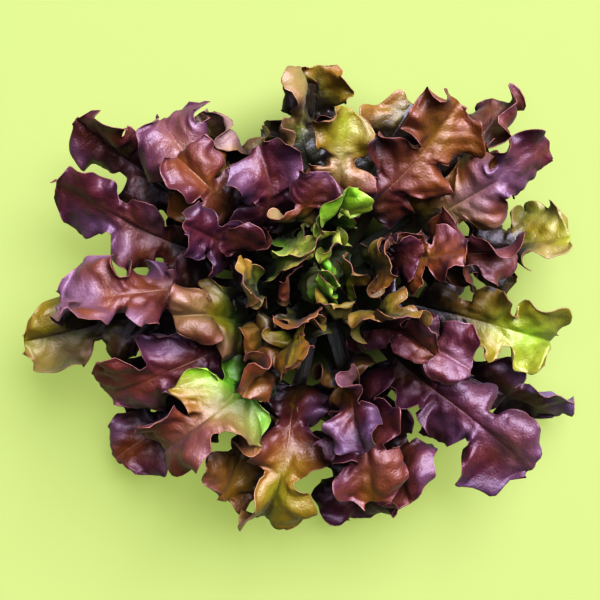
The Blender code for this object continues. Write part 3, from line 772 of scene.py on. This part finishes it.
# Leaves with a waxy bloom, which makes them look powdered, and how strong it is; the bloom is also painted
# sheen, a pale veil that fades in the shade
bloomAndSheenLeaves = {
    1: 0.24, 2: 0.54, 4: 0.26, 5: 0.12, 6: 0.24, 7: 0.28, 8: 0.24, 9: 0.24, 10: 0.28, 11: 0.35,
    13: 0.20, 15: 0.24, 16: 0.30, 17: 0.40, 18: 0.20, 19: 0.24, 20: 0.14, 21: 0.42, 23: 0.16,
    25: 0.14, 28: 0.22, 29: 0.14, 30: 0.14, 31: 0.16, 32: 0.20, 36: 0.16, 37: 0.30,
}


# How the fields that the finish reads are worked out
leafFields = {
    # the head is looked at in cells of 3 mm, and round each cell out to 15 mm
    "cell": 0.003,
    "cellsAround": 5,
    "directions": 12,
    "shadeDepth": (0.006, 0.034),
    "tipPlaces": (0.45, 0.85),
    "rimRedder": 0.12,
    "evenShare": 0.6,
    "shadeGreener": 0.10,
    "patchGreener": 0.14,
    "patchSize": (0.034, 0.026),
    "greenFoot": (0.10, 0.48),
    "footShare": 0.18,
    # the bloom's strength, size and patches, which are painted sheen as well as waxy bloom
    "bloomAndSheenElsewhere": 0.04,
    "bloomAndSheenSize": (0.021, 0.016),
    "bloomAndSheenEdge": (-0.3, 0.6),
    "bloomAndSheenPlaces": (0.3, 0.6),
    "greenBelow": 0.3,
    "bronzeBelow": 0.66,
}


# How high the leaves stand round each cell: the mean of what is highest in each direction
def canopyAround(places, low):
    cells = ((places[:, :2] - low) / leafFields["cell"]).astype(int)
    canopy = np.zeros(cells.max(axis=0) + 2 + leafFields["cellsAround"])
    np.maximum.at(canopy, (cells[:, 0], cells[:, 1]), places[:, 2])
    around = np.zeros_like(canopy)
    for turn in range(leafFields["directions"]):
        angle = turn * math.tau / leafFields["directions"]
        highest = canopy
        for step in range(1, leafFields["cellsAround"] + 1):
            move = (round(step * math.cos(angle)), round(step * math.sin(angle)))
            highest = np.maximum(highest, np.roll(canopy, move, axis=(0, 1)))
        around += highest / leafFields["directions"]
    return around


# Sun turns a lettuce red, so feet and what lies under other leaves stay greener; how deep a point lies
# under the leaves round it is also painted shade, and the bloom carries painted sheen
def addFields(plans, leaves):
    cell = leafFields["cell"]
    every = np.concatenate([leaf["points"].reshape(-1, 3) for leaf in leaves])
    low = every[:, :2].min(axis=0) - (leafFields["cellsAround"] + 1) * cell
    around = canopyAround(every, low)
    for plan, leaf in zip(plans, leaves):
        number, along, share = plan["number"], leaf["along"], leaf["share"]
        where = ((leaf["points"][..., :2] - low) / cell).astype(int)
        depth = around[where[..., 0], where[..., 1]] - leaf["points"][..., 2]
        # painted shade: how deep a point lies under the leaves round it, which also darkens its colour in
        # the finish
        leaf["shade"] = smoothStep(*leafFields["shadeDepth"], depth)
        level = between(redLeaves[number], smoothStep(*leafFields["tipPlaces"], along))
        longPatch, widePatch = leafFields["patchSize"]
        patch = softNoise(leaf["run"] / longPatch, leaf["out"] / widePatch, number + 900)
        red = level + leafFields["rimRedder"] * (share - leafFields["evenShare"]) * (level > 0.2)
        red = red - leafFields["shadeGreener"] * leaf["shade"]
        red = red - leafFields["patchGreener"] * np.clip(patch, 0, 1)
        red = red * smoothStep(*leafFields["greenFoot"], along + leafFields["footShare"] * share)
        leaf["redness"] = np.clip(red, 0.0, 1.0)
        longBloomAndSheen, wideBloomAndSheen = leafFields["bloomAndSheenSize"]
        bloomAndSheen = softNoise(leaf["run"] / longBloomAndSheen, leaf["out"] / wideBloomAndSheen, number + 700)
        bloomAndSheen = smoothStep(*leafFields["bloomAndSheenEdge"], bloomAndSheen) * smoothStep(*leafFields["bloomAndSheenPlaces"], along)
        strength = bloomAndSheenLeaves.get(number, leafFields["bloomAndSheenElsewhere"])
        # painted sheen: the bloom fades where other leaves shade a point
        leaf["bloomAndSheen"] = strength * bloomAndSheen * (1 - leaf["shade"])


def toLinear(hexColour):
    parts = [int(hexColour[at : at + 2], 16) / 255 for at in (1, 3, 5)]
    return [p / 12.92 if p <= 0.04045 else ((p + 0.055) / 1.055) ** 2.4 for p in parts] + [1.0]


# Adds a node, with its options set and its inputs given a value or linked to a socket
def addNode(tree, kind, options=None, inputs=None, stops=None):
    node = tree.nodes.new("ShaderNode" + kind)
    for name, value in (options or {}).items():
        setattr(node, name, value)
    for name, value in (inputs or {}).items():
        if isinstance(value, bpy.types.NodeSocket):
            tree.links.new(value, node.inputs[name])
        else:
            node.inputs[name].default_value = value
    if stops:
        ramp = node.color_ramp.elements
        while len(ramp) < len(stops):
            ramp.new(0.5)
        for element, (place, colour) in zip(ramp, stops):
            element.position = place
            element.color = toLinear(colour)
    return node


def newMaterial(name):
    made = bpy.data.materials.new(name)
    made.use_nodes = True
    made.node_tree.nodes.clear()
    return made, made.node_tree


# The two faces of a leaf, and what its finish is made of. Sizes are metres.
leafFinish = {
    "upper": {
        # the skin's colour, from the green of the shaded heart to the near black of the reddest
        "stops": (
            (0.00, "#77b02c"), (0.16, "#7a8c26"), (0.34, "#79731a"), (0.50, "#775c15"),
            (0.66, "#6a3f1c"), (0.82, "#55282d"), (1.00, "#2a0d28"),
        ),
        "roughness": 0.54,
        "shine": 0.74,
        "veinShow": 0.35,
    },
    "lower": {
        "stops": (
            (0.00, "#90bd48"), (0.20, "#8c9344"), (0.40, "#82703a"), (0.60, "#74502f"),
            (0.80, "#5e3632"), (1.00, "#3c1f2c"),
        ),
        "roughness": 0.52,
        "shine": 0.15,
        "veinShow": 0.45,
    },
    # what the light turns to on its way through the blade, and how much of it gets through
    "throughStops": (
        (0.00, "#b8e23c"), (0.30, "#b79a2a"), (0.60, "#a8521c"), (0.85, "#6b1f1a"), (1.00, "#240b12"),
    ),
    "lightThrough": 0.14,
    # painted shade: the colour that darkens what lies deep under other leaves, and how strongly
    "paintedShadeColour": "#14030c",
    "paintedShadeStrength": 0.92,
    # the bloom's colour: waxy bloom and painted sheen
    "powderAndSheen": "#857790",
    "vein": "#a08562",
    "rimLine": "#bb9078",
    # blotches 20 mm across, mottles of 4 mm, wrinkles 3 mm apart, and a net of veins of 1.9 mm
    "blotchSize": 0.020,
    "blotchShare": 0.20,
    "mottleSize": 0.004,
    "mottleShare": 0.12,
    "wrinkleSize": 0.00303,
    "netSize": 0.001923,
    "netWidth": 0.22,
    "netDepth": 0.14,
    # where lines fade out: metres from the rib and the rim, and shares of the veins' spacing
    "hairLine": (0.0001, 0.0006),
    "ribShare": 0.8,
    "rimShare": 0.26,
    "sideVeinLine": (0.005, 0.035),
    "sideVeinShare": 0.16,
    "veinDepth": 0.5,
    "relief": 0.0008,
    "reliefStrength": 0.5,
    "glossSpread": (-0.08, 0.10),
    "ior": 1.45,
    "coatRoughness": 0.46,
    "sheen": "#d2c4ec",
    "sheenWeight": 0.09,
    "sheenRoughness": 0.45,
}

# What each point of a leaf tells its finish
shownFields = ("redness", "veinPhase", "fromRib", "fromRim", "shade", "bloomAndSheen")


# Living lettuce leaf: a waxy skin with broad soft shine over thin, puckered, lit-through flesh
def leafMaterial(name, face):
    made, tree = newMaterial(name)
    place = addNode(tree, "TexCoord").outputs["Object"]
    red, phase, fromRib, fromRim, shade, bloomAndSheen = (
        addNode(tree, "Attribute", {"attribute_name": field}).outputs["Fac"] for field in shownFields
    )
    # Blotches and mottling
    blotch, mottle = (
        addNode(tree, "TexNoise", None, {
            "Vector": place, "Scale": 1 / leafFinish[size], "Detail": 3.0,
        }).outputs["Fac"] for size in ("blotchSize", "mottleSize")
    )
    for pattern, share in ((blotch, leafFinish["blotchShare"]), (mottle, leafFinish["mottleShare"])):
        uneven = addNode(tree, "Math", {"operation": "MULTIPLY_ADD"}, {0: pattern, 1: share, 2: -share / 2})
        red = addNode(tree, "Math", {"operation": "ADD"}, {0: red, 1: uneven.outputs[0]}).outputs[0]
    colour = addNode(tree, "ValToRGB", None, {"Fac": red}, face["stops"]).outputs["Color"]

    # Hair lines on the side veins, on the rib and along the rim
    fromVein = addNode(tree, "Math", {"operation": "PINGPONG"}, {0: phase, 1: 0.5}).outputs[0]
    sideVein, midrib, rimLine = (
        addNode(tree, "MapRange", {"interpolation_type": "SMOOTHSTEP"}, {
            "Value": distance, "From Min": leafFinish[line][0], "From Max": leafFinish[line][1],
            "To Min": leafFinish[share], "To Max": 0.0,
        }).outputs[0] for distance, line, share in (
            (fromVein, "sideVeinLine", "sideVeinShare"), (fromRib, "hairLine", "ribShare"),
            (fromRim, "hairLine", "rimShare"),
        )
    )
    veins = addNode(tree, "Math", {"operation": "MAXIMUM"}, {0: sideVein, 1: midrib}).outputs[0]
    shown = addNode(tree, "Math", {"operation": "MULTIPLY"}, {0: veins, 1: face["veinShow"]}).outputs[0]
    # painted shade: the deeper a point lies under other leaves, the darker it is
    paintedShadeMix = addNode(tree, "Math", {"operation": "MULTIPLY"}, {
        0: shade, 1: leafFinish["paintedShadeStrength"],
    }).outputs[0]
    # Bloom lies on the skin and carries painted sheen, veins are paler, the rim is dry and pale, and
    # painted shade darkens what lies deep under other leaves
    for share, layer in ((bloomAndSheen, "powderAndSheen"), (shown, "vein"), (rimLine, "rimLine"), (paintedShadeMix, "paintedShadeColour")):
        colour = addNode(tree, "Mix", {"data_type": "RGBA"}, {
            0: share, 6: colour, 7: toLinear(leafFinish[layer]),
        }).outputs[2]

    # Fine wrinkles and the net of the finest veins break up the shine
    wrinkle = addNode(tree, "TexNoise", None, {
        "Vector": place, "Scale": 1 / leafFinish["wrinkleSize"], "Detail": 2.0, "Distortion": 0.6,
    }).outputs["Fac"]
    fromNet = addNode(tree, "TexVoronoi", {"feature": "DISTANCE_TO_EDGE"}, {
        "Vector": place, "Scale": 1 / leafFinish["netSize"],
    }).outputs["Distance"]
    meshes = addNode(tree, "MapRange", {"interpolation_type": "SMOOTHSTEP"}, {
        "Value": fromNet, "From Min": 0.0, "From Max": leafFinish["netWidth"],
        "To Min": 0.0, "To Max": leafFinish["netDepth"],
    }).outputs[0]
    height = addNode(tree, "Math", {"operation": "MULTIPLY_ADD"}, {
        0: veins, 1: -leafFinish["veinDepth"], 2: wrinkle,
    }).outputs[0]
    height = addNode(tree, "Math", {"operation": "ADD"}, {0: height, 1: meshes}).outputs[0]
    normal = addNode(tree, "Bump", None, {
        "Strength": leafFinish["reliefStrength"], "Distance": leafFinish["relief"], "Height": height,
    }).outputs["Normal"]
    # Blotches are also smoother or rougher than the skin round them
    smoother, rougher = leafFinish["glossSpread"]
    gloss = addNode(tree, "MapRange", None, {
        "Value": blotch, "From Min": 0.3, "From Max": 0.7,
        "To Min": face["roughness"] + smoother, "To Max": face["roughness"] + rougher,
    }).outputs[0]
    skin = addNode(tree, "BsdfPrincipled", None, {
        "Base Color": colour, "Roughness": gloss, "IOR": leafFinish["ior"], "Normal": normal,
        "Coat Weight": face["shine"], "Coat Roughness": leafFinish["coatRoughness"],
        "Coat Normal": normal, "Sheen Weight": leafFinish["sheenWeight"],
        "Sheen Roughness": leafFinish["sheenRoughness"], "Sheen Tint": toLinear(leafFinish["sheen"]),
    })
    glow = addNode(tree, "ValToRGB", None, {"Fac": red}, leafFinish["throughStops"])
    through = addNode(tree, "BsdfTranslucent", None, {"Color": glow.outputs["Color"]})
    both = addNode(tree, "MixShader", None, {
        0: leafFinish["lightThrough"], 1: skin.outputs[0], 2: through.outputs[0],
    })
    addNode(tree, "OutputMaterial", None, {"Surface": both.outputs[0]})
    return made


rimFinish = {
    "stops": ((0.3, "#5c3530"), (0.7, "#846250")),
    "mottleSize": 0.00625,
    "roughness": 0.5,
    "ior": 1.45,
}


# The thin rim of a lettuce leaf, dried a little, which makes it paler and duller than the skin
def rimMaterial():
    made, tree = newMaterial("lettuceLeafRim")
    tone = addNode(tree, "TexNoise", None, {
        "Vector": addNode(tree, "TexCoord").outputs["Object"],
        "Scale": 1 / rimFinish["mottleSize"], "Detail": 2.0,
    }).outputs["Fac"]
    colour = addNode(tree, "ValToRGB", None, {"Fac": tone}, rimFinish["stops"]).outputs["Color"]
    skin = addNode(tree, "BsdfPrincipled", None, {
        "Base Color": colour, "Roughness": rimFinish["roughness"], "IOR": rimFinish["ior"],
    })
    addNode(tree, "OutputMaterial", None, {"Surface": skin.outputs[0]})
    return made


stemFinish = {
    "stops": ((0.30, "#9fae63"), (0.55, "#c6cf95"), (0.75, "#b08a5c")),
    "mottleSize": 0.005556,
    "relief": 0.0006,
    "reliefStrength": 0.4,
    "roughness": 0.45,
    "ior": 1.42,
}


# Cut lettuce stem: pale, wet flesh with a soft shine, greener and browner in patches
def stemMaterial():
    made, tree = newMaterial("lettuceStemFlesh")
    tone = addNode(tree, "TexNoise", None, {
        "Vector": addNode(tree, "TexCoord").outputs["Object"],
        "Scale": 1 / stemFinish["mottleSize"], "Detail": 4.0,
    }).outputs["Fac"]
    colour = addNode(tree, "ValToRGB", None, {"Fac": tone}, stemFinish["stops"]).outputs["Color"]
    normal = addNode(tree, "Bump", None, {
        "Strength": stemFinish["reliefStrength"], "Distance": stemFinish["relief"], "Height": tone,
    }).outputs["Normal"]
    skin = addNode(tree, "BsdfPrincipled", None, {
        "Base Color": colour, "Roughness": stemFinish["roughness"], "IOR": stemFinish["ior"],
        "Normal": normal,
    })
    addNode(tree, "OutputMaterial", None, {"Surface": skin.outputs[0]})
    return made


# A grid moved to the leaf's upper face, which then gets its thickness downwards
def makeLeaf(plan, leaf, finishes):
    rows, columns = leaf["points"].shape[0] - 1, leaf["points"].shape[1] - 1
    bpy.ops.mesh.primitive_grid_add(x_subdivisions=columns, y_subdivisions=rows, size=2)
    piece = bpy.context.active_object
    piece.name = f"leafBlade{plan['number']:02d}"
    mesh = piece.data
    flat = np.zeros(len(mesh.vertices) * 3, np.float32)
    mesh.vertices.foreach_get("co", flat)
    flat = flat.reshape(-1, 3)
    row = np.rint((flat[:, 1] + 1) / 2 * rows).astype(int)
    column = np.rint((1 - flat[:, 0]) / 2 * columns).astype(int)
    mesh.vertices.foreach_set("co", leaf["points"][row, column].astype(np.float32).ravel())
    for field in shownFields:
        attribute = mesh.attributes.new(field, "FLOAT", "POINT")
        attribute.data.foreach_set("value", leaf[field][row, column].astype(np.float32))
    thickest = float(leaf["thickness"].max())
    group = piece.vertex_groups.new(name="thickness")
    for vertex, share in enumerate(leaf["thickness"][row, column] / thickest):
        group.add([vertex], float(share), "REPLACE")
    for finish in finishes:
        mesh.materials.append(finish)
    solidify = piece.modifiers.new("thickness", "SOLIDIFY")
    solidify.thickness = thickest
    solidify.offset = -1.0
    solidify.vertex_group = group.name
    solidify.material_offset = 1
    solidify.material_offset_rim = 2
    bpy.ops.object.modifier_apply(modifier=solidify.name)
    bpy.ops.object.shade_smooth()
    piece.vertex_groups.clear()
    piece.select_set(False)
    return piece


# A cylinder cut into rings, which are moved to the stem's profile
def makeStem(finish):
    bpy.ops.mesh.primitive_cylinder_add(
        vertices=stem["sides"], radius=stem["footRadius"], depth=stem["height"],
        location=(0, 0, stem["height"] / 2), end_fill_type="NGON",
    )
    piece = bpy.context.active_object
    piece.name = "stemCore"
    bpy.ops.object.transform_apply(location=True, rotation=True, scale=True)
    bpy.ops.object.mode_set(mode="EDIT")
    bpy.ops.mesh.select_all(action="DESELECT")
    bpy.ops.object.mode_set(mode="OBJECT")
    for edge in piece.data.edges:
        low, high = (piece.data.vertices[v].co.z for v in edge.vertices)
        edge.select = abs(high - low) > stem["height"] / 2
    bpy.ops.object.mode_set(mode="EDIT")
    bpy.ops.mesh.subdivide(number_cuts=stem["rings"])
    bpy.ops.object.mode_set(mode="OBJECT")
    piece.data.materials.append(finish)
    lowest, highest = stem["seamPlaces"]
    for vertex in piece.data.vertices:
        point = vertex.co
        turn = math.atan2(point.y, point.x)
        radius = float(stemRadius(point.z)) - stem["seamRoom"]
        if lowest < point.z < highest:
            radius += stem["seamHeight"] * math.sin(stem["seams"] * turn + point.z * stem["seamTurn"])
        point.x = math.cos(turn) * radius
        point.y = math.sin(turn) * radius
    bevel = piece.modifiers.new("cutEdge", "BEVEL")
    bevel.width = stem["cutEdge"]
    bevel.segments = 2
    bpy.ops.object.modifier_apply(modifier=bevel.name)
    bpy.ops.object.shade_smooth_by_angle(angle=math.radians(stem["sharpAngle"]))
    piece.select_set(False)
    return piece


# A pale surface, which glows a little as painted light and is darker under the head as painted shadow, and
# soft light from above and from the upper right
studio = {
    "floorSize": 40.0,
    "floorDrop": 0.0002,
    "floorRoughness": 0.9,
    "floorShine": 0.1,
    "floorColour": "#616744",
    # painted light: how strongly and in what colour the floor glows outside the head
    "paintedFloorGlow": 0.30,
    "paintedGlowColour": "#e6fa9a",
    # painted shadow: the floor turns dark under the head, between these distances from its middle
    "paintedShadowColour": "#1d2114",
    "paintedShadowWithin": (0.030, 0.125),
    "keyPlace": (3.0, 3.9, 6.2),
    "keySize": 7.6,
    "keyPower": 1960.0,
    "topPlace": (-0.7, 0.7, 8.4),
    "topSize": 6.4,
    "topPower": 380.0,
    "lampColour": "#e9e6ff",
    "skyColour": "#e4e6ff",
    "skyStrength": 0.08,
    "backColour": "#b9c98a",
    "contrast": "Very High Contrast",
}


# Pale paper that glows a little as painted light, so that the shadow on it is weak, but not right under the
# head, where a painted shadow darkens it
def floorMaterial():
    made, tree = newMaterial("paleFloorPaper")
    place = addNode(tree, "TexCoord").outputs["Object"]
    fromMiddle = addNode(tree, "VectorMath", {"operation": "LENGTH"}, {0: place}).outputs["Value"]
    outsidePaintedShadow = addNode(tree, "MapRange", {"interpolation_type": "SMOOTHSTEP"}, {
        "Value": fromMiddle, "From Min": studio["paintedShadowWithin"][0], "From Max": studio["paintedShadowWithin"][1],
    }).outputs[0]
    # painted shadow: the colour darkens under the head
    colour = addNode(tree, "Mix", {"data_type": "RGBA"}, {
        0: outsidePaintedShadow, 6: toLinear(studio["paintedShadowColour"]), 7: toLinear(studio["floorColour"]),
    }).outputs[2]
    # painted light: the floor glows outside the head only
    glow = addNode(tree, "Math", {"operation": "MULTIPLY"}, {0: outsidePaintedShadow, 1: studio["paintedFloorGlow"]}).outputs[0]
    skin = addNode(tree, "BsdfPrincipled", None, {
        "Base Color": colour, "Roughness": studio["floorRoughness"],
        "Specular IOR Level": studio["floorShine"],
        "Emission Color": toLinear(studio["paintedGlowColour"]), "Emission Strength": glow,
    })
    addNode(tree, "OutputMaterial", None, {"Surface": skin.outputs[0]})
    return made


def makeFloor():
    bpy.ops.mesh.primitive_plane_add(size=studio["floorSize"], location=(0, 0, -studio["floorDrop"]))
    floor = bpy.context.active_object
    floor.name = "paleFloor"
    floor.data.materials.append(floorMaterial())


def makeLamps():
    for name in ("key", "top"):
        bpy.ops.object.light_add(type="AREA", location=studio[name + "Place"])
        lamp = bpy.context.active_object
        lamp.name = name + "Light"
        lamp.data.shape = "DISK"
        lamp.data.size = studio[name + "Size"]
        lamp.data.energy = studio[name + "Power"]
        lamp.data.color = toLinear(studio["lampColour"])[:3]
        lamp.rotation_euler = (-lamp.location).to_track_quat("-Z", "Y").to_euler()


# The sky lights the head weakly, but is seen as pale as the floor
def makeSky():
    sky = bpy.data.worlds.new("softSky")
    bpy.context.scene.world = sky
    sky.use_nodes = True
    seen = addNode(sky.node_tree, "LightPath").outputs["Is Camera Ray"]
    dim = [part * studio["skyStrength"] for part in toLinear(studio["skyColour"])]
    shown = addNode(sky.node_tree, "Mix", {"data_type": "RGBA"}, {
        0: seen, 6: dim, 7: toLinear(studio["backColour"]),
    }).outputs[2]
    background = sky.node_tree.nodes["Background"]
    sky.node_tree.links.new(shown, background.inputs["Color"])
    bpy.context.scene.view_settings.view_transform = "Standard"
    bpy.context.scene.view_settings.look = studio["contrast"]


view = {
    "place": (-0.010, -0.008, 0.776),
    "lens": 80.05,
    "sensorWidth": 36.0,
}


def makeCamera():
    bpy.ops.object.camera_add(location=view["place"], rotation=(0, 0, 0))
    camera = bpy.context.active_object
    camera.data.lens = view["lens"]
    camera.data.sensor_width = view["sensorWidth"]
    bpy.context.scene.camera = camera


makeCamera()
makeFloor()
makeLamps()
makeSky()
print("camera, floor and light are set")

plans = planLeaves()
coarseRows = np.array(bending["rows"])
coarseColumns = np.linspace(-1.0, 1.0, bending["columns"] + 1)
grown = np.array([leafPoints(plan, coarseRows, coarseColumns) for plan in plans])
shifts = bendClear(plans, grown)
print("the leaves are bent clear of each other")

leaves = [fineLeaf(plan, shift) for plan, shift in zip(plans, shifts)]
addFields(plans, leaves)
upper = leafMaterial("lettuceLeafUpper", leafFinish["upper"])
lower = leafMaterial("lettuceLeafLower", leafFinish["lower"])
rim = rimMaterial()
for plan, leaf in zip(plans, leaves):
    piece = makeLeaf(plan, leaf, (upper, lower, rim))
    node = f"leaf_{plan['number']:02d}"
    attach(piece, "root")
    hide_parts(node)
print("the leaf blades are made:", len(leaves))

core = makeStem(stemMaterial())
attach(core, "root")
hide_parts("stem")
print("the stem is made")
